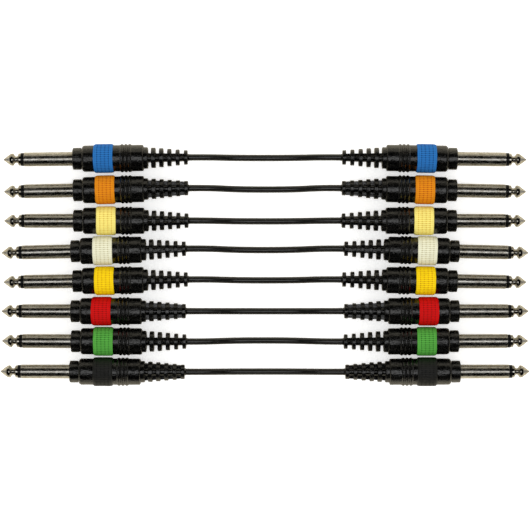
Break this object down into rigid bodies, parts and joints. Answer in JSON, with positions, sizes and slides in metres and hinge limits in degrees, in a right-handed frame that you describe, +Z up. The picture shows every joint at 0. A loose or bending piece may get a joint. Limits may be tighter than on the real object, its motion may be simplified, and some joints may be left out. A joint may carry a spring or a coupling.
{
  "type": "audio patch lead set",
  "caption": "Set of colour-coded audio patch leads side by side, each a short cable with a moulded 6.35 mm mono jack plug and a woven band at both ends.",
  "frame": {"origin": "middle of the set on the surface that the leads lie on, below the middle of the cables", "axes": "+X along the leads towards the right-hand plugs, +Y across the rows towards the blue lead, +Z up"},
  "size_m": [0.2432, 0.1116, 0.0134],
  "materials": {
    "nickel": "bright nickel plate on turned brass, lightly worn",
    "ring_black": "glossy moulded plastic",
    "moulding_black": "soft black PVC moulding, satin",
    "cable_black": "smooth flexible PVC jacket, satin",
    "band_blue": "woven elastic ribbon",
    "band_orange": "woven elastic ribbon",
    "band_pale_yellow": "woven elastic ribbon",
    "band_white": "woven elastic ribbon",
    "band_yellow": "woven elastic ribbon",
    "band_red": "woven elastic ribbon",
    "band_green": "woven elastic ribbon",
    "band_black": "woven elastic ribbon"
  },
  "bodies": {
    "blue_lead": {"blue_tip_contacts": "nickel", "blue_insulators": "ring_black", "blue_sleeves": "nickel", "blue_grips": "moulding_black", "blue_cable": "cable_black"},
    "blue_band_left_ring": {"blue_band_left": "band_blue"},
    "blue_band_right_ring": {"blue_band_right": "band_blue"},
    "orange_lead": {"orange_tip_contacts": "nickel", "orange_insulators": "ring_black", "orange_sleeves": "nickel", "orange_grips": "moulding_black", "orange_cable": "cable_black"},
    "orange_band_left_ring": {"orange_band_left": "band_orange"},
    "orange_band_right_ring": {"orange_band_right": "band_orange"},
    "pale_yellow_lead": {"pale_yellow_tip_contacts": "nickel", "pale_yellow_insulators": "ring_black", "pale_yellow_sleeves": "nickel", "pale_yellow_grips": "moulding_black", "pale_yellow_cable": "cable_black"},
    "pale_yellow_band_left_ring": {"pale_yellow_band_left": "band_pale_yellow"},
    "pale_yellow_band_right_ring": {"pale_yellow_band_right": "band_pale_yellow"},
    "white_lead": {"white_tip_contacts": "nickel", "white_insulators": "ring_black", "white_sleeves": "nickel", "white_grips": "moulding_black", "white_cable": "cable_black"},
    "white_band_left_ring": {"white_band_left": "band_white"},
    "white_band_right_ring": {"white_band_right": "band_white"},
    "yellow_lead": {"yellow_tip_contacts": "nickel", "yellow_insulators": "ring_black", "yellow_sleeves": "nickel", "yellow_grips": "moulding_black", "yellow_cable": "cable_black"},
    "yellow_band_left_ring": {"yellow_band_left": "band_yellow"},
    "yellow_band_right_ring": {"yellow_band_right": "band_yellow"},
    "red_lead": {"red_tip_contacts": "nickel", "red_insulators": "ring_black", "red_sleeves": "nickel", "red_grips": "moulding_black", "red_cable": "cable_black"},
    "red_band_left_ring": {"red_band_left": "band_red"},
    "red_band_right_ring": {"red_band_right": "band_red"},
    "green_lead": {"green_tip_contacts": "nickel", "green_insulators": "ring_black", "green_sleeves": "nickel", "green_grips": "moulding_black", "green_cable": "cable_black"},
    "green_band_left_ring": {"green_band_left": "band_green"},
    "green_band_right_ring": {"green_band_right": "band_green"},
    "black_lead": {"black_tip_contacts": "nickel", "black_insulators": "ring_black", "black_sleeves": "nickel", "black_grips": "moulding_black", "black_cable": "cable_black"},
    "black_band_left_ring": {"black_band_left": "band_black"},
    "black_band_right_ring": {"black_band_right": "band_black"}
  },
  "joints": [
    {"name": "blue_lift", "type": "slide", "parent": "white_lead", "child": "blue_lead", "axis": [0, 0, 1], "range_m": [0, 0.06]},
    {"name": "blue_band_left_slide", "type": "slide", "parent": "blue_lead", "child": "blue_band_left_ring", "axis": [-0.9999, -0.0126, 0], "range_m": [-0.0015, 0.055]},
    {"name": "blue_band_right_slide", "type": "slide", "parent": "blue_lead", "child": "blue_band_right_ring", "axis": [0.9999, -0.0126, 0], "range_m": [-0.0015, 0.055]},
    {"name": "orange_lift", "type": "slide", "parent": "white_lead", "child": "orange_lead", "axis": [0, 0, 1], "range_m": [0, 0.04]},
    {"name": "orange_band_left_slide", "type": "slide", "parent": "orange_lead", "child": "orange_band_left_ring", "axis": [-0.9998, -0.0195, 0], "range_m": [-0.0015, 0.055]},
    {"name": "orange_band_right_slide", "type": "slide", "parent": "orange_lead", "child": "orange_band_right_ring", "axis": [0.9998, -0.0195, 0], "range_m": [-0.0015, 0.055]},
    {"name": "pale_yellow_lift", "type": "slide", "parent": "white_lead", "child": "pale_yellow_lead", "axis": [0, 0, 1], "range_m": [0, 0.06]},
    {"name": "pale_yellow_band_left_slide", "type": "slide", "parent": "pale_yellow_lead", "child": "pale_yellow_band_left_ring", "axis": [-1, -0.0017, 0], "range_m": [-0.0015, 0.055]},
    {"name": "pale_yellow_band_right_slide", "type": "slide", "parent": "pale_yellow_lead", "child": "pale_yellow_band_right_ring", "axis": [1, -0.0017, 0], "range_m": [-0.0015, 0.055]},
    {"name": "white_band_left_slide", "type": "slide", "parent": "white_lead", "child": "white_band_left_ring", "axis": [-0.9997, -0.0225, 0], "range_m": [-0.0015, 0.055]},
    {"name": "white_band_right_slide", "type": "slide", "parent": "white_lead", "child": "white_band_right_ring", "axis": [0.9997, -0.0225, 0], "range_m": [-0.0015, 0.055]},
    {"name": "yellow_lift", "type": "slide", "parent": "white_lead", "child": "yellow_lead", "axis": [0, 0, 1], "range_m": [0, 0.06]},
    {"name": "yellow_band_left_slide", "type": "slide", "parent": "yellow_lead", "child": "yellow_band_left_ring", "axis": [-0.9999, -0.0145, 0], "range_m": [-0.0015, 0.055]},
    {"name": "yellow_band_right_slide", "type": "slide", "parent": "yellow_lead", "child": "yellow_band_right_ring", "axis": [0.9999, -0.0145, 0], "range_m": [-0.0015, 0.055]},
    {"name": "red_lift", "type": "slide", "parent": "white_lead", "child": "red_lead", "axis": [0, 0, 1], "range_m": [0, 0.04]},
    {"name": "red_band_left_slide", "type": "slide", "parent": "red_lead", "child": "red_band_left_ring", "axis": [-1, 0, 0], "range_m": [-0.0015, 0.055]},
    {"name": "red_band_right_slide", "type": "slide", "parent": "red_lead", "child": "red_band_right_ring", "axis": [1, 0, 0], "range_m": [-0.0015, 0.055]},
    {"name": "green_lift", "type": "slide", "parent": "white_lead", "child": "green_lead", "axis": [0, 0, 1], "range_m": [0, 0.06]},
    {"name": "green_band_left_slide", "type": "slide", "parent": "green_lead", "child": "green_band_left_ring", "axis": [-1, 0.0035, 0], "range_m": [-0.0015, 0.055]},
    {"name": "green_band_right_slide", "type": "slide", "parent": "green_lead", "child": "green_band_right_ring", "axis": [1, 0.0035, 0], "range_m": [-0.0015, 0.055]},
    {"name": "black_lift", "type": "slide", "parent": "white_lead", "child": "black_lead", "axis": [0, 0, 1], "range_m": [0, 0.04]},
    {"name": "black_band_left_slide", "type": "slide", "parent": "black_lead", "child": "black_band_left_ring", "axis": [-1, 0.0024, 0], "range_m": [-0.0015, 0.055]},
    {"name": "black_band_right_slide", "type": "slide", "parent": "black_lead", "child": "black_band_right_ring", "axis": [1, 0.0024, 0], "range_m": [-0.0015, 0.055]}
  ]
}
